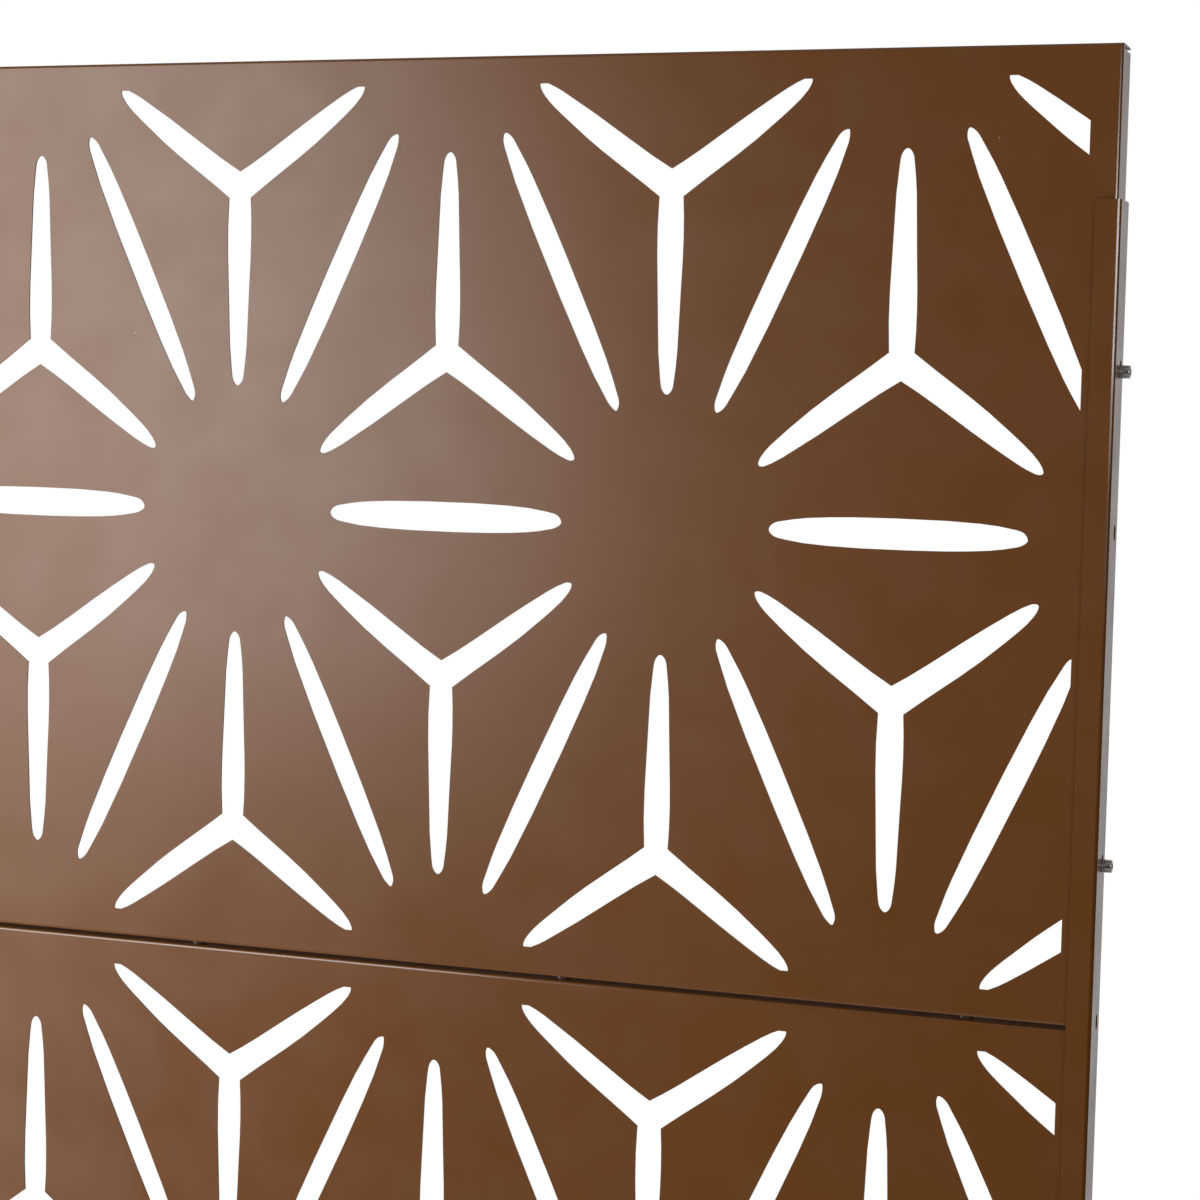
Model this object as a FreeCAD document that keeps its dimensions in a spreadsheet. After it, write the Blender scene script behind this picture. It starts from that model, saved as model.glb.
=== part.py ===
import FreeCAD, Part
import math
import os
import Sketcher
from FreeCAD import Placement, Rotation, Vector

# Freestanding privacy screen: three folded sheet panels with a star lattice cut through
# them, hung by screws between two angle posts that stand on gusseted feet.
# Millimetres. X runs across the screen, -Y is its front, Z is up from the ground.

SIZES = [
    # Panels
    ("panel_width", 1200),
    ("panel_height", 614),
    ("panel_depth", 30),
    ("panel_sheet", 1.2),
    ("panel_bend", 2.2),
    ("panel_border", 18.7),
    ("corner_relief", 2.3),
    ("corner_reach", 3),
    ("seam_gap", 2.5),
    ("ground_gap", 103.3),
    # Star lattice: distance between stars in a row, and between rows
    ("star_pitch", 311.4),
    ("star_row", 329.4),
    # Ovals between two stars of a row
    ("level_length", 168.5),
    ("level_width", 20.1),
    # Ovals from a star up to the next row
    ("diagonal_angle", 65.5),
    ("diagonal_start", 82),
    ("diagonal_length", 199.6),
    ("diagonal_width", 15.2),
    # Three-armed cut-outs: the upright stem, its half widths and how far back from its end they are
    ("stem_reach", 134.1),
    ("stem_nose", 2.9),
    ("stem_nose_back", 2.1),
    ("stem_tip", 4.7),
    ("stem_tip_back", 8.1),
    ("stem_neck", 6.35),
    ("stem_neck_back", 24.1),
    ("stem_waist", 7.5),
    ("stem_waist_back", 54.1),
    ("stem_bulge", 9),
    ("stem_bulge_at", 40),
    # Three-armed cut-outs: the corners where the arms meet
    ("notch_side", 8.3),
    ("notch_rise", 5.4),
    ("notch_drop", 12.5),
    # Three-armed cut-outs: the two slanting arms, back from their ends and beside their centre line
    ("arm_reach", 115),
    ("arm_reach_side", 2.75),
    ("arm_stem_mid_back", 55),
    ("arm_stem_mid_side", 7.7),
    ("arm_stem_bend_back", 23),
    ("arm_stem_bend_side", 4.8),
    ("arm_stem_end_back", 5),
    ("arm_stem_end_side", 1.1),
    ("arm_stem_nose_back", 1.4),
    ("arm_stem_nose_side", 0.9),
    ("arm_outer_mid_back", 55),
    ("arm_outer_mid_side", 8.9),
    ("arm_outer_bend_back", 23),
    ("arm_outer_bend_side", 8),
    ("arm_outer_end_back", 5),
    ("arm_outer_end_side", 6.1),
    ("arm_outer_nose_back", 1.6),
    ("arm_outer_nose_side", 4.8),
    # Posts
    ("post_drop", 95.3),
    ("post_lip", 16),
    ("post_web", 32),
    ("post_sheet", 2),
    ("post_bend", 2.6),
    ("post_clearance", 0.3),
    ("slot_width", 6.6),
    ("slot_height", 10.1),
    ("slot_rise", 2.2),
    # Feet
    ("plate_length", 400),
    ("plate_width", 80),
    ("plate_sheet", 3),
    ("plate_corner", 10),
    ("plate_outset", 20),
    ("anchor_inset", 25),
    ("anchor_hole", 9),
    ("bracket_sheet", 2.5),
    ("bracket_height", 100),
    ("bracket_base", 180),
    ("bracket_top", 34),
    ("bracket_edge", 14),
    ("bracket_flange", 52),
    ("bracket_bend", 3.5),
    ("bracket_round", 6),
    ("bracket_screw_spacing", 110),
    ("bracket_screw_inset", 16),
    ("foot_screw_low", 26),
    ("foot_screw_high", 72),
    ("foot_clearance", 1.2),
    # Where the panel screws go
    ("screw_depth", 20),
    ("screw_upper", 106),
    ("screw_lower", 206),
    ("seam_screw_depth", 10),
    ("seam_screw_first", 80),
    ("seam_screw_pitch", 275),
    # Fasteners
    ("screw_thread", 5),
    ("screw_hole", 5.5),
    ("screw_head", 8.5),
    ("screw_head_height", 5),
    ("screw_socket", 4),
    ("screw_socket_depth", 2.5),
    ("screw_end", 1.5),
    ("washer_outer", 8.5),
    ("washer_inner", 5.4),
    ("washer_thickness", 1.4),
    ("washer_split", 0.8),
    ("nut_flats", 8),
    ("nut_height", 4),
    ("nut_hole", 5.4),
    ("spacer_outer", 10),
    ("sunk_head", 9.4),
    ("sunk_socket", 3),
    ("sunk_socket_depth", 1.4),
    ("sunk_clearance", 0.3),
]
PANELS = ["bottom_panel", "middle_panel", "top_panel"]
SEAM_SCREWS = 4
# How full the ovals are: 2 is an ellipse, and more has blunter ends
OVAL_FULLNESS = 2.55
OVAL_POINTS = 24

doc = FreeCAD.newDocument("privacy_screen")
sheet = doc.addObject("Spreadsheet::Sheet", "sizes")
for row, (alias, number) in enumerate(SIZES, 1):
    sheet.set("A%d" % row, alias)
    sheet.set("B%d" % row, str(number))
    sheet.setAlias("B%d" % row, alias)
doc.recompute()

# Places that several pieces share, as formulas on the cells
FRONT = "(-sizes.panel_depth / 2)"
MODULE = "(sizes.panel_height + sizes.seam_gap)"
POST_FOOT = "(sizes.plate_sheet + sizes.bracket_sheet + sizes.foot_clearance)"
STACK_FOOT = "(%s + sizes.ground_gap)" % POST_FOOT
FIRST_CENTRE = "(%s + sizes.panel_height / 2)" % STACK_FOOT
PANEL_CENTRES = ["(%s + %d * %s)" % (FIRST_CENTRE, n, MODULE) for n in range(len(PANELS))]
POST_HEAD = "(%s + sizes.panel_height / 2 - sizes.post_drop)" % PANEL_CENTRES[-1]
POST_LENGTH = "((%s - %s) / 2)" % (POST_HEAD, POST_FOOT)
WEB_INNER = "(sizes.panel_width / 2 + sizes.post_clearance)"
WEB_OUTER = "(%s + sizes.post_sheet)" % WEB_INNER
SCREW_Y = "(sizes.screw_depth - sizes.panel_depth / 2)"
SEAM_Y = "(sizes.seam_screw_depth - sizes.panel_depth / 2)"
SIDE_SCREWS = ["(%s - sizes.screw_lower)" % centre for centre in PANEL_CENTRES]
SIDE_SCREWS += ["(%s + sizes.screw_upper)" % centre for centre in PANEL_CENTRES]
# The slots read the same from either end of a post, so each one in use has a spare mirror image.
USED_SLOTS = ["(%s + sizes.slot_rise)" % height for height in SIDE_SCREWS]
SPARE_SLOTS = ["(%s + %s - %s)" % (POST_FOOT, POST_HEAD, height) for height in USED_SLOTS]
# The seam screws are set out from the panel's right-hand edge
SEAM_START = "sizes.panel_width / 2 - sizes.seam_screw_first"
SEAM_PLACES = ["(%s - %d * sizes.seam_screw_pitch)" % (SEAM_START, n) for n in range(SEAM_SCREWS)]
FOOT_SCREWS = ["(%s + sizes.%s)" % (POST_FOOT, name) for name in ("foot_screw_low", "foot_screw_high")]
PLATE_MIDDLE = "(%s + sizes.plate_outset - sizes.plate_width / 2)" % WEB_OUTER
BRACKET_OUTER = "(%s + sizes.bracket_sheet)" % WEB_OUTER
BRACKET_SCREW_X = "(%s - sizes.bracket_flange + sizes.bracket_screw_inset)" % BRACKET_OUTER


def size(alias):
    return float(sheet.get(alias))


def value(formula):
    return float(sheet.evalExpression(str(formula)))


def bind(obj, **formulas):
    for name, formula in formulas.items():
        obj.setExpression(name, str(formula))


def bind_place(obj, x="0", y="0", z="0"):
    for axis, formula in (("x", x), ("y", y), ("z", z)):
        obj.setExpression("Placement.Base." + axis, formula)


def new_body(label):
    return doc.addObject("PartDesign::Body", label)


def new_sketch(body, role, name):
    sketch = body.newObject("Sketcher::SketchObject", name)
    plane = next(f for f in body.Origin.OriginFeatures if f.Role == role)
    sketch.AttachmentSupport = (plane, [""])
    sketch.MapMode = "FlatFace"
    return sketch


def hold(sketch, kind, *references):
    """Add a driving constraint whose last reference is its formula."""
    *points, formula = references
    number = sketch.addConstraint(Sketcher.Constraint(kind, *points, value(formula)))
    sketch.setExpression("Constraints[%d]" % number, formula)


def hold_point(sketch, geometry, point, x, y):
    hold(sketch, "DistanceX", -1, 1, geometry, point, x)
    hold(sketch, "DistanceY", -1, 1, geometry, point, y)


def add_polygon(sketch, corners):
    """Closed outline of straight lines, every corner tied to a pair of formulas."""
    places = [Vector(value(x), value(y), 0) for x, y in corners]
    lines = []
    for start, end in zip(places, places[1:] + places[:1]):
        lines.append(sketch.addGeometry(Part.LineSegment(start, end)))
    for line, following in zip(lines, lines[1:] + lines[:1]):
        sketch.addConstraint(Sketcher.Constraint("Coincident", line, 2, following, 1))
    for line, (x, y) in zip(lines, corners):
        hold_point(sketch, line, 1, x, y)


def add_rectangle(sketch, left, bottom, right, top):
    add_polygon(sketch, [(left, bottom), (right, bottom), (right, top), (left, top)])


def add_circle(sketch, x, y, diameter):
    centre = Vector(value(x), value(y), 0)
    circle = sketch.addGeometry(Part.Circle(centre, Vector(0, 0, 1), value(diameter) / 2))
    hold(sketch, "Radius", circle, "%s / 2" % diameter)
    hold_point(sketch, circle, 3, x, y)


def add_upright_slot(sketch, x, y, width, height):
    straight = "((%s - %s) / 2)" % (height, width)
    ends = []
    for sign, first, last in (("+", 0, math.pi), ("-", math.pi, 2 * math.pi)):
        level = "%s %s %s" % (y, sign, straight)
        ring = Part.Circle(Vector(value(x), value(level), 0), Vector(0, 0, 1), value(width) / 2)
        arc = sketch.addGeometry(Part.ArcOfCircle(ring, first, last))
        hold(sketch, "Radius", arc, "%s / 2" % width)
        hold_point(sketch, arc, 3, x, level)
        ends.append(arc)
    upper, lower = ends
    for top, bottom in ((1, 2), (2, 1)):
        start = sketch.getPoint(upper, top)
        end = sketch.getPoint(lower, bottom)
        line = sketch.addGeometry(Part.LineSegment(start, end))
        sketch.addConstraint(Sketcher.Constraint("Tangent", upper, top, line, 1))
        sketch.addConstraint(Sketcher.Constraint("Tangent", line, 2, lower, bottom))


def add_pad(body, sketch, name, length, midplane=False):
    pad = body.newObject("PartDesign::Pad", name)
    pad.Profile = sketch
    pad.Midplane = midplane
    bind(pad, Length=length)
    doc.recompute()
    return pad


def add_pocket(body, sketch, name, length):
    """Cut the sketch through, half of the length to each side of its plane."""
    before = body.Shape.Volume
    pocket = body.newObject("PartDesign::Pocket", name)
    pocket.Profile = sketch
    pocket.Midplane = True
    bind(pocket, Length=length)
    doc.recompute()
    if not body.Shape.Volume < before - 1e-3:
        raise RuntimeError(name + " cuts nothing")
    return pocket


def near(a, b):
    return abs(a - b) < 1e-5


def edges_where(shape, test):
    """Names of the edges whose ends all pass the test."""
    names = []
    for number, edge in enumerate(shape.Edges, 1):
        if all(test(corner.Point) for corner in edge.Vertexes):
            names.append("Edge%d" % number)
    return names


def dress(body, kind, name, test, **formulas):
    """Round or bevel the edges of the body's last feature that pass the test."""
    base = body.Tip
    names = edges_where(base.Shape, test)
    feature = body.newObject("PartDesign::" + kind, name)
    feature.Base = (base, names)
    bind(feature, **formulas)
    doc.recompute()
    return feature


def add_corner_rounds(body, label, axis, test, radius):
    """Round the edges that run along one axis and pass the test."""
    base = body.Tip
    names = []
    for name in edges_where(base.Shape, test):
        edge = base.Shape.getElement(name)
        start, end = edge.firstVertex().Point, edge.lastVertex().Point
        if near(abs(getattr(end - start, axis.lower())), edge.Length):
            names.append(name)
    rounds = body.newObject("PartDesign::Fillet", label + "_corner_rounds")
    rounds.Base = (base, names)
    bind(rounds, Radius=radius)
    doc.recompute()


# Star lattice: closed outlines in the panel's own X and Z, its centre star at the origin

def smooth_curve(points, closed=False):
    curve = Part.BSplineCurve()
    curve.interpolate(Points=points, PeriodicFlag=closed)
    return curve


def oval_outline(centre, angle, length, width):
    """An oval a little fuller than an ellipse, turned about its centre."""
    turn = Rotation(Vector(0, 0, 1), angle)
    points = []
    for step in range(OVAL_POINTS):
        t = 2 * math.pi * step / OVAL_POINTS
        along, across = math.cos(t), math.sin(t)
        x = length / 2 * math.copysign(abs(along) ** (2 / OVAL_FULLNESS), along)
        y = width / 2 * math.copysign(abs(across) ** (2 / OVAL_FULLNESS), across)
        p = turn.multVec(Vector(x, y, 0))
        points.append(Vector(centre[0] + p.x, 0, centre[1] + p.y))
    return Part.Wire([smooth_curve(points, closed=True).toShape()])


def three_armed_outline(centre, up):
    """One upright stem and two slanting arms that point at the three stars around the centre."""
    slant = math.atan2(size("star_row") / 3, size("star_pitch") / 2)
    ahead = Vector(math.cos(slant), 0, -math.sin(slant))
    stemward = Vector(math.sin(slant), 0, math.cos(slant))

    def at(p, side):
        return Vector(centre[0] + side * p.x, 0, centre[1] + up * p.z)

    def stem(name):
        return Vector(size("stem_" + name), 0, size("stem_reach") - size("stem_%s_back" % name))

    def arm(name, side):
        reach = size("arm_reach") - size("arm_%s_back" % name)
        return ahead * reach + stemward * side * size("arm_%s_side" % name)

    notch = Vector(size("notch_side"), 0, size("notch_rise"))
    bulge = Vector(size("stem_bulge"), 0, size("stem_bulge_at"))
    flank = [notch, bulge, stem("waist"), stem("neck"), stem("tip"), stem("nose")]
    tip = Vector(0, 0, size("stem_reach"))
    arm_tip = ahead * size("arm_reach") - stemward * size("arm_reach_side")
    crotch = Vector(0, 0, -size("notch_drop"))
    inner = [arm("stem_mid", 1), arm("stem_bend", 1), arm("stem_end", 1), arm("stem_nose", -1)]
    outer = [arm("outer_nose", -1), arm("outer_end", -1), arm("outer_bend", -1), arm("outer_mid", -1)]
    round_stem = [at(p, 1) for p in flank + [tip]] + [at(p, -1) for p in reversed(flank)]
    curves = [smooth_curve(round_stem)]
    for side in (1, -1):
        round_arm = [notch] + inner + [arm_tip] + outer + [crotch]
        curves.append(smooth_curve([at(p, side) for p in round_arm]))
    return Part.Wire(Part.__sortEdges__([curve.toShape() for curve in curves]))


def lattice_outlines(half_width, half_height):
    pitch, row = size("star_pitch"), size("star_row")
    columns = math.ceil(half_width / pitch) + 1
    rows = math.ceil(half_height / row)
    slope = math.radians(size("diagonal_angle"))
    reach = size("diagonal_start") + size("diagonal_length") / 2
    outlines = []
    for j in range(-rows, rows + 1):
        for i in range(-columns, columns + 1):
            x = (i + 0.5 * (j % 2)) * pitch
            z = j * row
            level = size("level_length"), size("level_width")
            outlines.append(oval_outline((x + pitch / 2, z), 0, *level))
            diagonal = size("diagonal_length"), size("diagonal_width")
            for side in (1, -1):
                middle = (x + side * reach * math.cos(slope), z + reach * math.sin(slope))
                outlines.append(oval_outline(middle, side * size("diagonal_angle"), *diagonal))
            outlines.append(three_armed_outline((x + pitch / 2, z + row / 3), 1))
            outlines.append(three_armed_outline((x, z + 2 * row / 3), -1))
    return outlines


def lattice_cutter():
    """Prisms of every outline that shows in the panel's bordered window, trimmed at its edges."""
    half_width = size("panel_width") / 2 - size("panel_border")
    half_height = size("panel_height") / 2 - size("panel_border")
    depth = size("panel_bend") + size("panel_sheet")
    start = value(FRONT) - depth / 2
    corner = Vector(-half_width, start, -half_height)
    window = Part.makeBox(2 * half_width, depth, 2 * half_height, corner)
    prisms = []
    for outline in lattice_outlines(half_width, half_height):
        box = outline.BoundBox
        if box.XMin > half_width or box.XMax < -half_width:
            continue
        if box.ZMin > half_height or box.ZMax < -half_height:
            continue
        face = Part.Face(outline)
        face.translate(Vector(0, start, 0))
        prism = face.extrude(Vector(0, depth, 0))
        inside = abs(box.XMin) < half_width and abs(box.XMax) < half_width
        if not (inside and abs(box.ZMin) < half_height and abs(box.ZMax) < half_height):
            prism = prism.common(window)
        prisms.extend(prism.Solids)
    return Part.makeCompound(prisms)


# Panels: a tray pressed from one sheet, open at the back, with the lattice cut through its face

blank = new_body("panel_blank")
half_width, half_height = "sizes.panel_width / 2", "sizes.panel_height / 2"
outline = new_sketch(blank, "XZ_Plane", "blank_outline")
add_rectangle(outline, "-" + half_width, "-" + half_height, half_width, half_height)
add_pad(blank, outline, "blank_pad", "sizes.panel_depth", midplane=True)
dress(blank, "Fillet", "face_bends", lambda p: near(p.y, value(FRONT)), Radius="sizes.panel_bend")
folded = blank.Tip
back_y = -value(FRONT)
back_face = next(n for n, f in enumerate(folded.Shape.Faces, 1) if near(f.CenterOfMass.y, back_y))
tray = blank.newObject("PartDesign::Thickness", "tray")
tray.Base = (folded, ["Face%d" % back_face])
tray.Reversed = True
bind(tray, Value="sizes.panel_sheet")
doc.recompute()

# The side flanges stop short of the top and bottom ones, so that the corners can fold
reliefs = new_sketch(blank, "YZ_Plane", "corner_reliefs")
relief_front = "%s + sizes.panel_bend + sizes.corner_reach" % FRONT
relief_back = "-%s + sizes.corner_reach" % FRONT
relief_end = "(sizes.panel_height / 2 - sizes.panel_sheet)"
relief_start = "(%s - sizes.corner_relief)" % relief_end
add_rectangle(reliefs, relief_front, relief_start, relief_back, relief_end)
add_rectangle(reliefs, relief_front, "-" + relief_end, relief_back, "-" + relief_start)
add_pocket(blank, reliefs, "corner_relief_cuts", "2 * sizes.panel_width")

side_holes = new_sketch(blank, "YZ_Plane", "side_holes")
add_circle(side_holes, SCREW_Y, "sizes.screw_upper", "sizes.screw_hole")
add_circle(side_holes, SCREW_Y, "-sizes.screw_lower", "sizes.screw_hole")
add_pocket(blank, side_holes, "side_hole_cuts", "2 * sizes.panel_width")

seam_holes = new_sketch(blank, "XY_Plane", "seam_holes")
for place in SEAM_PLACES:
    add_circle(seam_holes, place, SEAM_Y, "sizes.screw_hole")
add_pocket(blank, seam_holes, "seam_hole_cuts", "2 * sizes.panel_height")

cutter = doc.addObject("Part::Feature", "lattice_cutter")
cutter.Shape = lattice_cutter()
nodes = []
for label, centre in zip(PANELS, PANEL_CENTRES):
    panel = doc.addObject("Part::Cut", label)
    panel.Base = blank
    panel.Tool = cutter
    bind_place(panel, z=centre)
    nodes.append(panel)


# Posts: a folded angle whose lip laps the panels' front edge, slotted for the side screws

def post(label, side, start, foot_holes):
    """One length of post. side is 1 on the right and -1 on the left."""
    body = new_body(label)
    lip_front = "(%s - sizes.post_sheet)" % FRONT
    back_edge = "(%s + sizes.post_web)" % lip_front
    inner = "%d * sizes.post_sheet" % -side
    free_edge = "%d * sizes.post_lip" % -side
    profile = new_sketch(body, "XY_Plane", label + "_profile")
    add_polygon(profile, [
        ("0", lip_front),
        ("0", back_edge),
        (inner, back_edge),
        (inner, FRONT),
        (free_edge, FRONT),
        (free_edge, lip_front),
    ])
    add_pad(body, profile, label + "_pad", POST_LENGTH)
    dress(body, "Fillet", label + "_outer_bend",
          lambda p: near(p.x, 0) and near(p.y, value(lip_front)),
          Radius="sizes.post_bend")
    dress(body, "Fillet", label + "_inner_bend",
          lambda p: near(p.x, value(inner)) and near(p.y, value(FRONT)),
          Radius="sizes.post_bend - sizes.post_sheet")
    slots = new_sketch(body, "YZ_Plane", label + "_slots")
    for height in USED_SLOTS + SPARE_SLOTS:
        if 0 < value(height) - value(start) < value(POST_LENGTH):
            local = "(%s - %s)" % (height, start)
            add_upright_slot(slots, SCREW_Y, local, "sizes.slot_width", "sizes.slot_height")
    if foot_holes:
        for height in FOOT_SCREWS:
            add_circle(slots, SCREW_Y, "(%s - %s)" % (height, start), "sizes.screw_hole")
    add_pocket(body, slots, label + "_slot_cuts", "4 * sizes.post_sheet")
    bind_place(body, x="%d * %s" % (side, WEB_OUTER), z=start)
    return body


# Feet: a ground plate, and a folded gusset screwed to the post's outer face

def ground_plate(label, side):
    body = new_body(label)
    half_w, half_l = "sizes.plate_width / 2", "sizes.plate_length / 2"
    profile = new_sketch(body, "XY_Plane", label + "_profile")
    add_rectangle(profile, "-" + half_w, "-" + half_l, half_w, half_l)
    add_pad(body, profile, label + "_pad", "sizes.plate_sheet")
    add_corner_rounds(body, label, "Z", lambda p: True, "sizes.plate_corner")
    inward = "(%d * (%s - %s))" % (side, BRACKET_SCREW_X, PLATE_MIDDLE)
    holes = new_sketch(body, "XY_Plane", label + "_holes")
    for end in (1, -1):
        anchor = "(%d * (%s - sizes.anchor_inset))" % (end, half_l)
        add_circle(holes, "0", anchor, "sizes.anchor_hole")
        add_circle(holes, inward, "%d * sizes.bracket_screw_spacing / 2" % end, "sizes.screw_hole")
    add_pocket(body, holes, label + "_hole_cuts", "4 * sizes.plate_sheet")

    def rim_of_screw_hole(p):
        away = math.hypot(p.x - value(inward), abs(p.y) - size("bracket_screw_spacing") / 2)
        return near(p.z, 0) and near(away, size("screw_hole") / 2)

    dress(body, "Chamfer", label + "_countersinks", rim_of_screw_hole,
          Size="(sizes.sunk_head - sizes.screw_hole) / 2 + sizes.sunk_clearance")
    bind_place(body, x="%d * %s" % (side, PLATE_MIDDLE))
    return body


def gusset_bracket(label, side):
    body = new_body(label)
    inner = "%d * sizes.bracket_sheet" % -side
    toe = "%d * sizes.bracket_flange" % -side
    profile = new_sketch(body, "XZ_Plane", label + "_profile")
    add_polygon(profile, [
        ("0", "0"),
        ("0", "sizes.bracket_height"),
        (inner, "sizes.bracket_height"),
        (inner, "sizes.bracket_sheet"),
        (toe, "sizes.bracket_sheet"),
        (toe, "0"),
    ])
    add_pad(body, profile, label + "_pad", "sizes.bracket_base", midplane=True)
    dress(body, "Fillet", label + "_outer_bend",
          lambda p: near(p.x, 0) and near(p.z, 0),
          Radius="sizes.bracket_bend")
    dress(body, "Fillet", label + "_inner_bend",
          lambda p: near(p.x, value(inner)) and near(p.z, size("bracket_sheet")),
          Radius="sizes.bracket_bend - sizes.bracket_sheet")
    shoulders = new_sketch(body, "YZ_Plane", label + "_shoulders")
    for end in (1, -1):
        base = "(%d * sizes.bracket_base / 2)" % end
        beyond = "(%d * (sizes.bracket_base / 2 + sizes.bracket_edge))" % end
        crown = "(%d * sizes.bracket_top / 2)" % end
        above = "sizes.bracket_height + sizes.bracket_edge"
        add_polygon(shoulders, [
            (base, "sizes.bracket_edge"),
            (beyond, "sizes.bracket_edge"),
            (beyond, above),
            (crown, above),
            (crown, "sizes.bracket_height"),
        ])
    add_pocket(body, shoulders, label + "_shoulder_cuts", "4 * sizes.bracket_sheet")
    add_corner_rounds(body, label, "X", lambda p: near(p.z, size("bracket_height")), "sizes.bracket_round")
    holes = new_sketch(body, "YZ_Plane", label + "_post_holes")
    for height in FOOT_SCREWS:
        add_circle(holes, SCREW_Y, "(%s - sizes.plate_sheet)" % height, "sizes.screw_hole")
    add_pocket(body, holes, label + "_post_hole_cuts", "4 * sizes.bracket_sheet")
    inward = "(%d * (%s - %s))" % (side, BRACKET_SCREW_X, BRACKET_OUTER)
    plate_holes = new_sketch(body, "XY_Plane", label + "_plate_holes")
    for end in (1, -1):
        add_circle(plate_holes, inward, "%d * sizes.bracket_screw_spacing / 2" % end, "sizes.screw_hole")
    add_pocket(body, plate_holes, label + "_plate_hole_cuts", "4 * sizes.bracket_sheet")
    bind_place(body, x="%d * %s" % (side, BRACKET_OUTER), z="sizes.plate_sheet")
    return body


POST_JOIN = "(%s + %s)" % (POST_FOOT, POST_LENGTH)
SIDES = (("right", 1), ("left", -1))
for name, side in SIDES:
    nodes.append(post(name + "_post_lower", side, POST_FOOT, True))
    nodes.append(post(name + "_post_upper", side, POST_JOIN, False))
    nodes.append(ground_plate(name + "_foot_plate", side))
    nodes.append(gusset_bracket(name + "_foot_bracket", side))


# Fasteners: one of each kind stands on its bearing face at the origin, then is set in place

def cylinder(name, diameter, height, z="0"):
    solid = doc.addObject("Part::Cylinder", name)
    bind(solid, Radius="%s / 2" % diameter, Height=height)
    bind_place(solid, z=z)
    return solid


def hexagon(name, flats, height, z="0"):
    solid = doc.addObject("Part::Prism", name)
    solid.Polygon = 6
    bind(solid, Circumradius="%s / sqrt(3)" % flats, Height=height)
    bind_place(solid, z=z)
    return solid


def cut(name, base, tool):
    result = doc.addObject("Part::Cut", name)
    result.Base = base
    result.Tool = tool
    return result


def fuse(name, base, tool):
    result = doc.addObject("Part::Fuse", name)
    result.Base = base
    result.Tool = tool
    return result


def socket_screw(name, length):
    head = cylinder(name + "_head", "sizes.screw_head", "sizes.screw_head_height")
    shank = cylinder(name + "_shank", "sizes.screw_thread", length, "-(%s)" % length)
    socket = hexagon(name + "_socket", "sizes.screw_socket", "sizes.screw_socket_depth",
                     "sizes.screw_head_height - sizes.screw_socket_depth")
    return cut(name, fuse(name + "_solid", head, shank), socket)


def sunk_screw(name, length):
    head = doc.addObject("Part::Cone", name + "_head")
    bind(head, Radius1="sizes.screw_thread / 2", Radius2="sizes.sunk_head / 2")
    bind(head, Height="(sizes.sunk_head - sizes.screw_thread) / 2")
    shank = cylinder(name + "_shank", "sizes.screw_thread", length, "-(%s)" % length)
    socket = hexagon(name + "_socket", "sizes.sunk_socket", "sizes.sunk_socket_depth",
                     "(sizes.sunk_head - sizes.screw_thread) / 2 - sizes.sunk_socket_depth")
    return cut(name, fuse(name + "_solid", head, shank), socket)


def ring(name, outer, inner, height):
    return cut(name, cylinder(name + "_outer", outer, height), cylinder(name + "_inner", inner, height))


def lock_washer(name):
    split = doc.addObject("Part::Box", name + "_split")
    bind(split, Length="sizes.washer_split", Width="sizes.washer_outer", Height="sizes.washer_thickness")
    bind_place(split, x="-sizes.washer_split / 2")
    whole = ring(name + "_ring", "sizes.washer_outer", "sizes.washer_inner", "sizes.washer_thickness")
    return cut(name, whole, split)


def nut(name):
    bore = cylinder(name + "_bore", "sizes.nut_hole", "sizes.nut_height")
    return cut(name, hexagon(name + "_hexagon", "sizes.nut_flats", "sizes.nut_height"), bore)


def group(label, pattern, places):
    """A node of separate copies of one fastener, each at a place of three formulas and a turn."""
    copies = []
    for x, y, z, turn in places:
        copy = pattern.Shape.copy()
        copy.Placement = Placement(Vector(value(x), value(y), value(z)), turn)
        copies.append(copy)
    node = doc.addObject("Part::Feature", label)
    node.Shape = Part.makeCompound(copies)
    nodes.append(node)


CLAMPED = "sizes.washer_thickness + sizes.post_sheet + sizes.nut_height + sizes.screw_end"
side_screw = socket_screw("side_screw", CLAMPED + " + sizes.post_clearance + sizes.panel_sheet")
foot_screw = socket_screw("foot_screw", CLAMPED + " + sizes.bracket_sheet")
SEAM_CLAMPED = "2 * sizes.panel_sheet + sizes.seam_gap + sizes.nut_height + sizes.screw_end"
seam_screw = socket_screw("seam_screw", SEAM_CLAMPED)
plate_screw = sunk_screw("plate_screw", "sizes.plate_sheet + sizes.bracket_sheet + sizes.nut_height")
washer = lock_washer("lock_washer")
hex_nut = nut("hex_nut")
spacer = ring("seam_spacer", "sizes.spacer_outer", "sizes.screw_hole", "sizes.seam_gap")
doc.recompute()

UP = Rotation()
DOWN = Rotation(Vector(1, 0, 0), 180)
OUTWARD = {side: Rotation(Vector(0, 1, 0), 90 * side) for name, side in SIDES}
INWARD = {side: Rotation(Vector(0, 1, 0), -90 * side) for name, side in SIDES}


def beside(side, x, heights, turns):
    """Places on one side of the screen, on the line of the side screws."""
    return [("%d * (%s)" % (side, x), SCREW_Y, height, turns[side]) for height in heights]


def on_both_sides(x, heights, turns):
    return beside(1, x, heights, turns) + beside(-1, x, heights, turns)


flange_inner = "sizes.panel_width / 2 - sizes.panel_sheet"
for name, side in SIDES:
    head = WEB_OUTER + " + sizes.washer_thickness"
    group(name + "_side_washers", washer, beside(side, WEB_OUTER, SIDE_SCREWS, OUTWARD))
    group(name + "_side_screws", side_screw, beside(side, head, SIDE_SCREWS, OUTWARD))
    group(name + "_side_nuts", hex_nut, beside(side, flange_inner, SIDE_SCREWS, INWARD))

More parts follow.
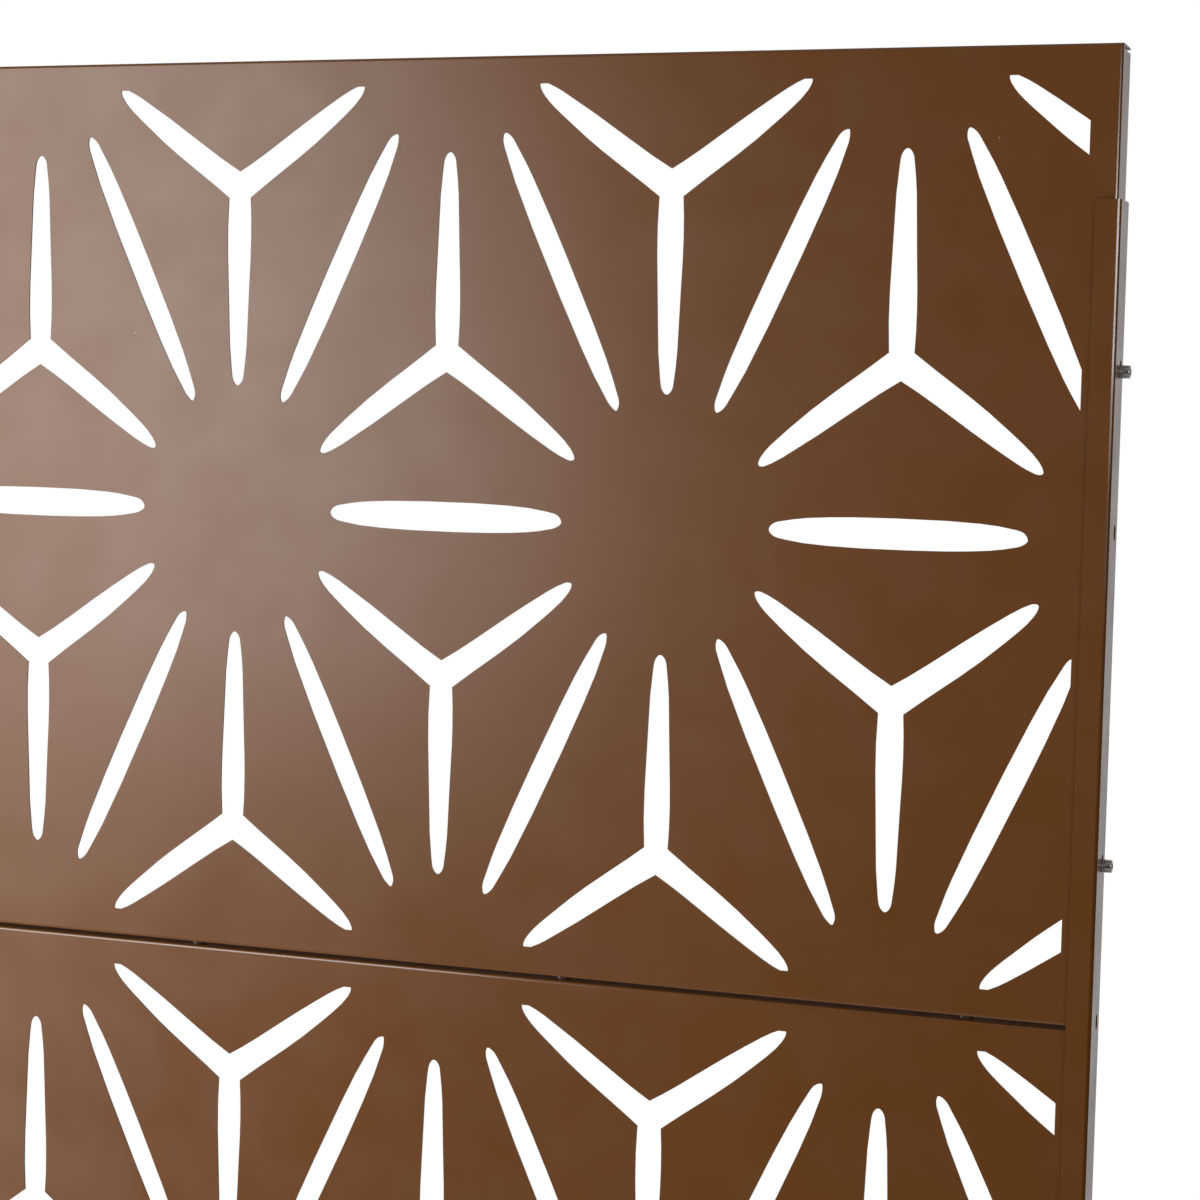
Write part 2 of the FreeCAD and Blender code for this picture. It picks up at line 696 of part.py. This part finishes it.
foot_head = BRACKET_OUTER + " + sizes.washer_thickness"
group("foot_washers", washer, on_both_sides(BRACKET_OUTER, FOOT_SCREWS, OUTWARD))
group("foot_screws", foot_screw, on_both_sides(foot_head, FOOT_SCREWS, OUTWARD))
group("foot_nuts", hex_nut, on_both_sides(WEB_INNER, FOOT_SCREWS, INWARD))

plate_spots = []
for side in (1, -1):
    for end in (1, -1):
        spot_x = "%d * %s" % (side, BRACKET_SCREW_X)
        spot_y = "%d * sizes.bracket_screw_spacing / 2" % end
        plate_spots.append((spot_x, spot_y))
sunk_level = "(sizes.sunk_head - sizes.screw_thread) / 2 + sizes.sunk_clearance"
flange_top = "sizes.plate_sheet + sizes.bracket_sheet"
group("plate_screws", plate_screw, [(x, y, sunk_level, DOWN) for x, y in plate_spots])
group("plate_nuts", hex_nut, [(x, y, flange_top, UP) for x, y in plate_spots])

for name, centre in (("lower", PANEL_CENTRES[0]), ("upper", PANEL_CENTRES[1])):
    edge = centre + " + sizes.panel_height / 2"

    def along(level, turn):
        return [(place, SEAM_Y, level, turn) for place in SEAM_PLACES]

    group(name + "_seam_spacers", spacer, along(edge, UP))
    group(name + "_seam_screws", seam_screw, along(edge + " - sizes.panel_sheet", DOWN))
    group(name + "_seam_nuts", hex_nut, along(edge + " + sizes.seam_gap + sizes.panel_sheet", UP))

doc.recompute()
for obj in doc.Objects:
    if "Invalid" in obj.State or "Error" in obj.State:
        raise RuntimeError("%s failed: %s" % (obj.Label, obj.State))
for node in nodes:
    if node.Shape.isNull() or not node.Shape.isValid() or not node.Shape.Solids:
        raise RuntimeError(node.Label + " has no valid solid")

os.makedirs("parts", exist_ok=True)
for node in nodes:
    node.Shape.exportStep("parts/%s.step" % node.Label)
    print(node.Label, len(node.Shape.Solids), "solid(s), %.0f mm3" % node.Shape.Volume)
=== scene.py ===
import math

import bmesh
import bpy
from mathutils import Matrix, Quaternion, Vector


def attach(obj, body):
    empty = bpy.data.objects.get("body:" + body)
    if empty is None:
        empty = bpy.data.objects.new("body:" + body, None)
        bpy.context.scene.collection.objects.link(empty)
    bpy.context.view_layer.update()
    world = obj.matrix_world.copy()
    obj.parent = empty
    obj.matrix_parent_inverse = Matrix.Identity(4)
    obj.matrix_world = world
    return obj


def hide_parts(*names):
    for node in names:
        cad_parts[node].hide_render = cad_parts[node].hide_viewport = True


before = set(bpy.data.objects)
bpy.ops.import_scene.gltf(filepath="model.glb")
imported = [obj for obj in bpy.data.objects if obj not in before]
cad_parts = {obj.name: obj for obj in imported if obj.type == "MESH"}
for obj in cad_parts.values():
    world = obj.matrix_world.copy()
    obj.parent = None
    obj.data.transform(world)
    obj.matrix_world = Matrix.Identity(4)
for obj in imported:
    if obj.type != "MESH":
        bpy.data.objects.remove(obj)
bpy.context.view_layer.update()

# Brown powder-coated privacy screen: folded sheet panels, angle posts, feet and their fasteners.
# Metres, in the frame of the solids: X across the screen, -Y its front, Z up from the ground.

MM = 0.001
SIDES = ("right", "left")

# Sheet parts and the finish that each takes
PANELS = ("bottom_panel", "middle_panel", "top_panel")
POSTS = [side + part for side in SIDES for part in ("_post_lower", "_post_upper")]
FEET = [side + part for side in SIDES for part in ("_foot_plate", "_foot_bracket")]
SHARP_ANGLE = math.radians(35)
CORNER_REACH = 3 * MM

# Coat on the bends and on the panels' level flanges, against 0 on the flat faces
BEND_GLOSS = 1.0
FLANGE_GLOSS = -1.0
GLOSS_STEP = 0.17
BEND_SHINE = 0.8
FLANGE_SHINE = 0.2

# M5 fasteners in millimetres
COLUMNS = 96
HEAD_RADIUS = 4.25
HEAD_HEIGHT = 5.0
SUNK_RADIUS = 4.7
SUNK_HEIGHT = 2.2
THREAD_PITCH = 0.8
THREAD_ROOT = 2.08
THREAD_CREST = 2.48
THREAD_COLUMNS = 32
RUN_OUT = 0.35
SHANK = THREAD_ROOT + 0.03
CAP_SOCKET = 4 / math.sqrt(3)
SUNK_SOCKET = 3 / math.sqrt(3)
NUT_CORNER = 8 / math.sqrt(3)
NUT_FACE = 3.8
NUT_HEIGHT = 4.0
GOLDEN_TURN = math.radians(137.5)


# Node helpers for the finishes

def add(tree, kind, sockets=None, **settings):
    """A shader node with its settings, and its sockets given a value or a link."""
    made = tree.nodes.new(kind)
    for key, setting in settings.items():
        setattr(made, key, setting)
    for key, given in (sockets or {}).items():
        if isinstance(given, bpy.types.NodeSocket):
            tree.links.new(given, made.inputs[key])
        else:
            made.inputs[key].default_value = given
    return made


def new_finish(name):
    finish = bpy.data.materials.new(name)
    finish.use_nodes = True
    tree = finish.node_tree
    return finish, tree, tree.nodes["Principled BSDF"]


def spread(tree, source, low, high, to_low, to_high):
    """A value stretched from one range to another."""
    return add(tree, "ShaderNodeMapRange", {
        "Value": source, "From Min": low, "From Max": high, "To Min": to_low, "To Max": to_high,
    }).outputs["Result"]


def noise(tree, place, scale, detail=2.0):
    return add(tree, "ShaderNodeTexNoise", {
        "Vector": place, "Scale": scale, "Detail": detail,
    }).outputs["Fac"]


def powder_coat(name, base, dusty, roughness):
    """Satin powder coat: orange peel, cloudy gloss, colour drift, sparse dust; glossier on the bends."""
    finish, tree, coat = new_finish(name)
    place = add(tree, "ShaderNodeTexCoord").outputs["Object"]
    drift = spread(tree, noise(tree, place, 3.5), 0.3, 0.7, 0.0, 1.0)
    tone = add(tree, "ShaderNodeMix", {
        "Factor": drift,
        "A": [c * 0.96 for c in base] + [1],
        "B": [c * 1.04 for c in base] + [1],
    }, data_type="RGBA")
    cells = add(tree, "ShaderNodeTexVoronoi", {"Vector": place, "Scale": 38.0})
    chosen = add(tree, "ShaderNodeSeparateColor", {"Color": cells.outputs["Color"]})
    near = spread(tree, cells.outputs["Distance"], 0.012, 0.03, 1.0, 0.0)
    kept = spread(tree, chosen.outputs["Red"], 0.93, 0.97, 0.0, 1.0)
    speck = add(tree, "ShaderNodeMath", {0: near, 1: kept}, operation="MULTIPLY").outputs[0]
    tinted = add(tree, "ShaderNodeMix", {
        "Factor": speck, "A": tone.outputs["Result"], "B": [*dusty, 1],
    }, data_type="RGBA")
    tree.links.new(tinted.outputs["Result"], coat.inputs["Base Color"])
    cloudy = spread(tree, noise(tree, place, 24.0), 0.3, 0.7, roughness - 0.03, roughness + 0.03)
    gloss = add(tree, "ShaderNodeAttribute", attribute_name="gloss").outputs["Fac"]
    even = add(tree, "ShaderNodeMath", {0: gloss, 1: -GLOSS_STEP, 2: cloudy}, operation="MULTIPLY_ADD")
    tree.links.new(even.outputs[0], coat.inputs["Roughness"])
    shine = spread(tree, gloss, FLANGE_GLOSS, BEND_GLOSS, FLANGE_SHINE, BEND_SHINE)
    tree.links.new(shine, coat.inputs["Specular IOR Level"])
    peel = add(tree, "ShaderNodeBump", {
        "Strength": 0.10, "Distance": 0.00004, "Height": noise(tree, place, 700.0, 1.0),
    })
    tree.links.new(peel.outputs["Normal"], coat.inputs["Normal"])
    return finish


def turned_steel(name, base, roughness, blotch):
    """Machined steel: lathe rings on the turned faces, uneven gloss and cloudy plating."""
    finish, tree, steel = new_finish(name)
    place = add(tree, "ShaderNodeTexCoord").outputs["Object"]
    turned = add(tree, "ShaderNodeAttribute", attribute_name="turned").outputs["Vector"]
    cloud = spread(tree, noise(tree, place, 420.0), 0.3, 0.7, 0.0, 1.0)
    tone = add(tree, "ShaderNodeMix", {
        "Factor": cloud,
        "A": [c * (1 - blotch) for c in base] + [1],
        "B": [*base, 1],
    }, data_type="RGBA")
    tree.links.new(tone.outputs["Result"], steel.inputs["Base Color"])
    steel.inputs["Metallic"].default_value = 1.0
    rings = noise(tree, turned, 9.0, 3.0)
    gloss = spread(tree, rings, 0.3, 0.7, roughness - 0.07, roughness + 0.07)
    tree.links.new(gloss, steel.inputs["Roughness"])
    lathe = add(tree, "ShaderNodeBump", {"Strength": 0.25, "Distance": 0.00002, "Height": rings})
    tree.links.new(lathe.outputs["Normal"], steel.inputs["Normal"])
    return finish


BROWN = (0.114, 0.0375, 0.0040)
DUST = (0.30, 0.25, 0.20)
SATIN = 0.345
panel_coat = powder_coat("panel_powder_coat", BROWN, DUST, SATIN)
post_coat = powder_coat("post_powder_coat", BROWN, DUST, SATIN)
bright_steel = turned_steel("bright_turned_steel", (0.62, 0.60, 0.57), 0.27, 0.16)
zinc_plate = turned_steel("zinc_plate", (0.55, 0.56, 0.58), 0.36, 0.30)
# Zinc darkened as painted shade: stands in for the shade inside the seam where the spacers sit
zinc_with_painted_shade = turned_steel("zinc_with_painted_shade", (0.12, 0.10, 0.085), 0.45, 0.30)


# Sheet parts: the solids' own shapes, welded and cleanly shaded

def mark_sharp(bm):
    """Smooth shading between the hard edges."""
    for face in bm.faces:
        face.smooth = True
    for edge in bm.edges:
        edge.smooth = edge.is_manifold and edge.calc_face_angle(0) < SHARP_ANGLE


def show(bm, piece_name, finish, nodes):
    """A finished bmesh as a piece that stands for its nodes on the one body."""
    mark_sharp(bm)
    mesh = bpy.data.meshes.new(piece_name)
    bm.to_mesh(mesh)
    bm.free()
    mesh.materials.append(finish)
    piece = bpy.data.objects.new(piece_name, mesh)
    bpy.context.scene.collection.objects.link(piece)
    even = piece.modifiers.new("even_shading", "WEIGHTED_NORMAL")
    even.keep_sharp = True
    even.weight = 100
    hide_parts(*nodes)
    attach(piece, "root")


def welded_copy(node):
    bm = bmesh.new()
    bm.from_mesh(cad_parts[node].data)
    bmesh.ops.remove_doubles(bm, verts=bm.verts, dist=1e-6)
    bmesh.ops.dissolve_degenerate(bm, edges=bm.edges, dist=1e-7)
    return bm


def cut_near_ends(bm, axis):
    """Edge loops near both ends of a panel along X or Z, so that its corners don't shade the long bends."""
    places = [vertex.co[axis] for vertex in bm.verts]
    for place in (min(places) + CORNER_REACH, max(places) - CORNER_REACH):
        point, way = Vector(), Vector()
        point[axis], way[axis] = place, 1
        bmesh.ops.bisect_plane(bm, geom=bm.verts[:] + bm.edges[:] + bm.faces[:], dist=1e-7,
                               plane_co=point, plane_no=way)


def coated_sheet(node, finish, flange_gloss=0.0):
    """A sheet part in its coat, glossier on the bends and matt where a panel's flanges lie level."""
    bm = welded_copy(node)
    if node in PANELS:
        cut_near_ends(bm, 0)
        cut_near_ends(bm, 2)
    gloss = bm.faces.layers.float.new("gloss")
    for face in bm.faces:
        if 0.05 < abs(face.normal.y) < 0.995:
            face[gloss] = BEND_GLOSS
        elif abs(face.normal.z) > 0.99:
            face[gloss] = flange_gloss
    show(bm, node + "_coated", finish, [node])


for node in PANELS:
    coated_sheet(node, panel_coat, FLANGE_GLOSS)
for node in POSTS + FEET:
    coated_sheet(node, post_coat)


# Fasteners: one of each kind is shaped at the origin, standing on its bearing face

def turn(corners, closed=False):
    """A shell turned round Z from its (radius, height) corners in millimetres."""
    bm = bmesh.new()
    line = [bm.verts.new((r * MM, 0, z * MM)) for r, z in corners]
    for a, b in zip(line, line[1:] + line[:1] if closed else line[1:]):
        bm.edges.new((a, b))
    bmesh.ops.spin(bm, geom=bm.verts[:] + bm.edges[:], cent=(0, 0, 0), axis=(0, 0, 1), dvec=(0, 0, 0),
                   angle=math.tau, steps=COLUMNS, use_merge=True, use_duplicate=False)
    bmesh.ops.remove_doubles(bm, verts=bm.verts, dist=1e-7)
    bmesh.ops.recalc_face_normals(bm, faces=bm.faces)
    return bm


def ring_of(bm, radius, height):
    """The vertices of a turned ring, with radius and height in millimetres."""
    return [v for v in bm.verts
            if abs(v.co.xy.length - radius * MM) < 2e-6 and abs(v.co.z - height * MM) < 2e-6]


def six_sided(vertex):
    """How far in from the corner circle a hexagon lies at a vertex's bearing."""
    bearing = math.atan2(vertex.co.y, vertex.co.x) % (math.pi / 3)
    return math.cos(math.pi / 6) / math.cos(bearing - math.pi / 6)


def draw_in(vertex, share):
    vertex.co.x *= share
    vertex.co.y *= share


def press_hexagon(bm, radius, heights):
    for height in heights:
        for vertex in ring_of(bm, radius, height):
            draw_in(vertex, six_sided(vertex))


def wind_thread(bm, foot, head):
    """A helical thread between two heights, running out at both ends."""
    turns = (head - foot) / THREAD_PITCH - 1
    steps = round(turns * THREAD_COLUMNS)
    tooth = bmesh.new()
    section = ((THREAD_ROOT, 0), (THREAD_CREST, 0.35), (THREAD_CREST, 0.45), (THREAD_ROOT, THREAD_PITCH))
    line = [tooth.verts.new((r * MM, 0, (foot + z) * MM)) for r, z in section]
    for a, b in zip(line, line[1:]):
        tooth.edges.new((a, b))
    bmesh.ops.spin(tooth, geom=tooth.verts[:] + tooth.edges[:], cent=(0, 0, 0), axis=(0, 0, 1),
                   dvec=(0, 0, THREAD_PITCH * MM / THREAD_COLUMNS), angle=math.tau * steps / THREAD_COLUMNS,
                   steps=steps, use_merge=False, use_duplicate=False)
    for vertex in tooth.verts:
        if vertex.co.xy.length < (THREAD_ROOT + THREAD_CREST) / 2 * MM:
            continue
        wound = (vertex.co.z / MM - foot - THREAD_PITCH / 2) / THREAD_PITCH
        left = min(wound, turns - wound)
        if left < RUN_OUT:
            crest = THREAD_ROOT + (THREAD_CREST - THREAD_ROOT) * max(left, 0) / RUN_OUT
            draw_in(vertex, crest / THREAD_CREST)
    bmesh.ops.remove_doubles(tooth, verts=tooth.verts, dist=1e-6)
    bmesh.ops.recalc_face_normals(tooth, faces=tooth.faces)
    take_in(bm, tooth)


def take_in(bm, other):
    """Moves another bmesh's shape into this one and returns the vertices that it brought."""
    before = len(bm.verts)
    mesh = bpy.data.meshes.new("taken_in")
    other.to_mesh(mesh)
    other.free()
    bm.from_mesh(mesh)
    bpy.data.meshes.remove(mesh)
    bm.verts.ensure_lookup_table()
    return bm.verts[before:]


def cap_screw(length):
    """A turned cap screw with a hexagon socket, head up, its shank below the origin."""
    bm = turn([
        (0, -length), (1.7, -length), (SHANK, -length + 0.45), (SHANK, -0.25), (2.35, 0), (3.7, 0),
        (4.05, 0.08), (HEAD_RADIUS - 0.02, 0.3), (HEAD_RADIUS, 0.42),
        (HEAD_RADIUS, 4.25), (HEAD_RADIUS - 0.06, 4.5), (HEAD_RADIUS - 0.25, 4.8),
        (HEAD_RADIUS - 0.55, HEAD_HEIGHT), (2.6, HEAD_HEIGHT), (CAP_SOCKET, 4.8), (CAP_SOCKET, 2.6),
        (1.6, 2.5), (0, 2.1),
    ])
    press_hexagon(bm, CAP_SOCKET, (4.8, 2.6))
    wind_thread(bm, -length + 0.2, 0)
    return bm


def sunk_screw(length):
    """A countersunk socket screw, head up, its shank below the origin."""
    bm = turn([
        (0, -length), (1.7, -length), (SHANK, -length + 0.45), (SHANK, -0.3), (2.5, 0),
        (SUNK_RADIUS - 0.1, SUNK_HEIGHT - 0.1), (SUNK_RADIUS - 0.1, SUNK_HEIGHT - 0.05),
        (SUNK_RADIUS - 0.2, SUNK_HEIGHT), (2.0, SUNK_HEIGHT), (SUNK_SOCKET, 2.05), (SUNK_SOCKET, 0.9),
        (1.2, 0.8), (0, 0.6),
    ])
    press_hexagon(bm, SUNK_SOCKET, (2.05, 0.9))
    wind_thread(bm, -length + 0.2, -0.2)
    return bm


def hexagon_nut():
    """A nut with chamfered corners and bore, standing on one face."""
    bm = turn([
        (2.45, 0.35), (2.8, 0), (NUT_FACE, 0), (NUT_CORNER, 0.5), (NUT_CORNER, NUT_HEIGHT - 0.5),
        (NUT_FACE, NUT_HEIGHT), (2.8, NUT_HEIGHT), (2.45, NUT_HEIGHT - 0.35),
    ], closed=True)
    for height in (0.5, NUT_HEIGHT - 0.5):
        for vertex in ring_of(bm, NUT_CORNER, height):
            draw_in(vertex, six_sided(vertex))
            slope = (vertex.co.xy.length / MM - NUT_FACE) * math.tan(math.pi / 6)
            vertex.co.z = (slope if height < NUT_HEIGHT / 2 else NUT_HEIGHT - slope) * MM
    return bm


def split_washer():
    """A spring washer pressed flat, its split towards +Y."""
    inner, outer, thick, soft, gap = 2.7, 4.25, 1.4, 0.16, 0.8
    section = [
        (inner + soft, 0), (outer - soft, 0), (outer, soft), (outer, thick - soft),
        (outer - soft, thick), (inner + soft, thick), (inner, thick - soft), (inner, soft),
    ]
    half_gap = math.asin(gap / (inner + outer))
    bm = bmesh.new()
    loop = [bm.verts.new((r * MM, 0, z * MM)) for r, z in section]
    for a, b in zip(loop, loop[1:] + loop[:1]):
        bm.edges.new((a, b))
    bmesh.ops.rotate(bm, verts=bm.verts, cent=(0, 0, 0),
                     matrix=Matrix.Rotation(math.pi / 2 + half_gap, 3, "Z"))
    bmesh.ops.spin(bm, geom=bm.verts[:] + bm.edges[:], cent=(0, 0, 0), axis=(0, 0, 1), dvec=(0, 0, 0),
                   angle=math.tau - 2 * half_gap, steps=COLUMNS, use_merge=False, use_duplicate=False)
    bmesh.ops.holes_fill(bm, edges=[e for e in bm.edges if e.is_boundary], sides=0)
    bmesh.ops.recalc_face_normals(bm, faces=bm.faces)
    return bm


def seam_spacer():
    """A plain tube spacer with eased rims."""
    inner, outer, height, soft = 2.75, 5.0, 2.5, 0.25
    return turn([
        (inner, soft), (inner + soft, 0), (outer - soft, 0), (outer - soft / 3, soft / 3), (outer, soft),
        (outer, height - soft), (outer - soft / 3, height - soft / 3), (outer - soft, height),
        (inner + soft, height), (inner, height - soft),
    ], closed=True)


def islands(node):
    """The lowest and highest corner of each separate solid of a node."""
    bm = welded_copy(node)
    left = set(bm.verts)
    boxes = []
    while left:
        reached = [left.pop()]
        points = []
        while reached:
            vertex = reached.pop()
            points.append(vertex.co.copy())
            for edge in vertex.link_edges:
                other = edge.other_vert(vertex)
                if other in left:
                    left.remove(other)
                    reached.append(other)
        low = Vector(min(p[i] for p in points) for i in range(3))
        high = Vector(max(p[i] for p in points) for i in range(3))
        boxes.append((low, high))
    bm.free()
    return sorted(boxes, key=lambda box: tuple(round(c, 4) for c in box[0]))


def facing(low, high, way):
    """The direction that a fastener's head or free face points in."""
    outward = 1 if low.x + high.x > 0 else -1
    return {
        "outward": Vector((outward, 0, 0)),
        "inward": Vector((-outward, 0, 0)),
        "up": Vector((0, 0, 1)),
        "down": Vector((0, 0, -1)),
    }[way]


def set_out(node, make, way, head, finish, turned):
    """One shaped fastener at the place of each solid of a node, as one piece."""
    bm = bmesh.new()
    lathe = bm.verts.layers.float_vector.new("turned")
    for count, (low, high) in enumerate(islands(node)):
        axis = facing(low, high, way)
        reach = abs((high - low).dot(axis))
        middle = (low + high) / 2
        base = middle + axis * (reach / 2 - head * MM if head else -reach / 2)
        shape = make(reach / MM - head) if head else make()
        brought = take_in(bm, shape)
        for vertex in brought:
            vertex[lathe] = (vertex.co.xy.length / MM, vertex.co.z / MM, 0)
        spin = Matrix.Rotation(GOLDEN_TURN * count if turned else 0, 4, "Z")
        if abs(axis.z) > 0.5:
            lean = Matrix.Identity(4) if axis.z > 0 else Matrix.Rotation(math.pi, 4, "X")
        else:
            lean = Matrix.Rotation(math.pi / 2 * axis.x, 4, "Y")
        bmesh.ops.transform(bm, matrix=Matrix.Translation(base) @ lean @ spin, verts=brought)
    show(bm, node + "_detailed", finish, [node])


for side in SIDES:
    set_out(side + "_side_screws", cap_screw, "outward", HEAD_HEIGHT, bright_steel, True)
    set_out(side + "_side_washers", split_washer, "outward", 0, zinc_plate, False)
    set_out(side + "_side_nuts", hexagon_nut, "inward", 0, zinc_plate, True)
set_out("foot_screws", cap_screw, "outward", HEAD_HEIGHT, bright_steel, True)
set_out("foot_washers", split_washer, "outward", 0, zinc_plate, False)
set_out("foot_nuts", hexagon_nut, "inward", 0, zinc_plate, True)
set_out("plate_screws", sunk_screw, "down", SUNK_HEIGHT, bright_steel, True)
set_out("plate_nuts", hexagon_nut, "up", 0, zinc_plate, True)
for level in ("lower", "upper"):
    set_out(level + "_seam_screws", cap_screw, "down", HEAD_HEIGHT, bright_steel, True)
    set_out(level + "_seam_nuts", hexagon_nut, "up", 0, zinc_plate, True)
    # the spacers take the zinc darkened as painted shade of the seam
    set_out(level + "_seam_spacers", seam_spacer, "up", 0, zinc_with_painted_shade, False)


# Floor: a pale disc, lifted a little for the camera alone, that fades out before the background begins

FLOOR_LIFT = 0.28
FLOOR_RADIUS = 2.8
FLOOR_SIDES = 96
FLOOR_DROP = 0.3 * MM
FADE_START = 1.1
FADE_END = 2.6


def pale_floor():
    finish, tree, paint = new_finish("pale_floor")
    place = add(tree, "ShaderNodeTexCoord").outputs["Object"]
    mottle = add(tree, "ShaderNodeMix", {
        "Factor": noise(tree, place, 6.0), "A": (0.80, 0.79, 0.78, 1), "B": (0.86, 0.85, 0.84, 1),
    }, data_type="RGBA")
    tree.links.new(mottle.outputs["Result"], paint.inputs["Base Color"])
    paint.inputs["Roughness"].default_value = 0.8
    paint.inputs["Specular IOR Level"].default_value = 0.1
    paint.inputs["Emission Color"].default_value = (1, 1, 1, 1)
    seen = add(tree, "ShaderNodeLightPath").outputs["Is Camera Ray"]
    tree.links.new(spread(tree, seen, 0.0, 1.0, 0.0, FLOOR_LIFT), paint.inputs["Emission Strength"])
    reach = add(tree, "ShaderNodeVectorMath", {0: place}, operation="LENGTH").outputs["Value"]
    faded = spread(tree, reach, FADE_START, FADE_END, 0.0, 1.0)
    clear = add(tree, "ShaderNodeBsdfTransparent").outputs["BSDF"]
    mixed = add(tree, "ShaderNodeMixShader", {0: faded, 1: paint.outputs["BSDF"], 2: clear})
    tree.links.new(mixed.outputs["Shader"], tree.nodes["Material Output"].inputs["Surface"])
    return finish


def lay_floor():
    """The floor's disc, just under the feet."""
    bm = bmesh.new()
    bmesh.ops.create_circle(bm, cap_ends=True, segments=FLOOR_SIDES, radius=FLOOR_RADIUS,
                            matrix=Matrix.Translation((0, 0, -FLOOR_DROP)))
    mesh = bpy.data.meshes.new("floor")
    bm.to_mesh(mesh)
    bm.free()
    mesh.materials.append(pale_floor())
    disc = bpy.data.objects.new("floor", mesh)
    bpy.context.scene.collection.objects.link(disc)
    return disc


floor = lay_floor()


# Background: white behind the screen as it is photographed, a dim room with a pale ceiling in front of it

BACKGROUND_AZIMUTH = math.radians(19.1)
WHITE_WITHIN = math.radians(44)
ROOM_BEYOND = math.radians(58)
ROOM_LEVEL = 0.02
CEILING_LEVEL = 0.32

world = bpy.data.worlds.new("studio")
bpy.context.scene.world = world
world.use_nodes = True
sky = world.node_tree
backdrop = sky.nodes["Background"]
view_way = add(sky, "ShaderNodeTexCoord").outputs["Generated"]
behind = (-math.sin(BACKGROUND_AZIMUTH), math.cos(BACKGROUND_AZIMUTH), 0)
along = add(sky, "ShaderNodeVectorMath", {0: view_way, 1: behind}, operation="DOT_PRODUCT").outputs["Value"]
lit = spread(sky, along, math.cos(ROOM_BEYOND), math.cos(WHITE_WITHIN), 0.0, 1.0)
seen = add(sky, "ShaderNodeLightPath").outputs["Is Camera Ray"]
white = add(sky, "ShaderNodeMath", {0: lit, 1: seen}, operation="MAXIMUM").outputs[0]
rise = add(sky, "ShaderNodeSeparateXYZ", {"Vector": view_way}).outputs["Z"]
steep = add(sky, "ShaderNodeMath", {0: rise}, operation="ABSOLUTE").outputs[0]
room = spread(sky, steep, 0.35, 0.65, ROOM_LEVEL, CEILING_LEVEL)
shade = add(sky, "ShaderNodeMix", {"Factor": white, "A": room, "B": (1, 1, 1, 1)}, data_type="RGBA")
sky.links.new(shade.outputs["Result"], backdrop.inputs["Color"])


# Lamps: soft boxes that face a point of the screen

def soft_box(name, azimuth, elevation, distance, width, height, radiance, target, roll=0):
    """A soft box at an azimuth from straight in front, positive to the left, in degrees."""
    lamp = bpy.data.lights.new(name, "AREA")
    lamp.shape = "RECTANGLE"
    lamp.size = width
    lamp.size_y = height
    lamp.energy = radiance * math.pi * width * height
    a, e = math.radians(azimuth), math.radians(elevation)
    way = Vector((-math.sin(a) * math.cos(e), -math.cos(a) * math.cos(e), math.sin(e)))
    box = bpy.data.objects.new(name, lamp)
    box.location = Vector(target) + way * distance
    aim = way.to_track_quat("Z", "Y") @ Quaternion((0, 0, 1), math.radians(roll))
    box.rotation_euler = aim.to_euler()
    box.visible_camera = False
    bpy.context.scene.collection.objects.link(box)
    return box


def keep_off_floor(box):
    """Shades a low lamp from the floor beside it, as a flag does in a studio."""
    shaded = bpy.data.collections.new(box.name + "_flag")
    shaded.objects.link(floor)
    shaded.collection_objects[0].light_linking.link_state = "EXCLUDE"
    box.light_linking.receiver_collection = shaded


soft_box("left_soft_box", azimuth=31.6, elevation=16.6, distance=1.24, width=0.72, height=1.0,
         radiance=6.1, target=(0, 0, 1.45), roll=18)
low_left = soft_box("low_left_soft_box", azimuth=62, elevation=-8, distance=1.7, width=0.8, height=0.9,
                    radiance=16.5, target=(-0.1, 0, 1.0))
keep_off_floor(low_left)
soft_box("right_soft_box", azimuth=-46, elevation=7, distance=2.8, width=2.2, height=0.34,
         radiance=9.2, target=(0, 0, 1.6))
soft_box("rear_soft_box", azimuth=130, elevation=25, distance=3.4, width=1.6, height=1.6,
         radiance=3.0, target=(0, 0, 1.0))


# Camera, fitted to the photograph's lattice, with its lens and sensor in millimetres

CAMERA_PLACE = (0.84583, -1.69146, 1.73409)
CAMERA_TURN = (85.6376, -1.2755, 19.0966)
LENS_LENGTH = 80.4756
SENSOR_WIDTH = 36

lens = bpy.data.cameras.new("camera")
lens.sensor_width = SENSOR_WIDTH
lens.lens = LENS_LENGTH
camera = bpy.data.objects.new("camera", lens)
camera.location = CAMERA_PLACE
camera.rotation_euler = [math.radians(angle) for angle in CAMERA_TURN]
bpy.context.scene.collection.objects.link(camera)
bpy.context.scene.camera = camera
bpy.context.scene.view_settings.view_transform = "Standard"
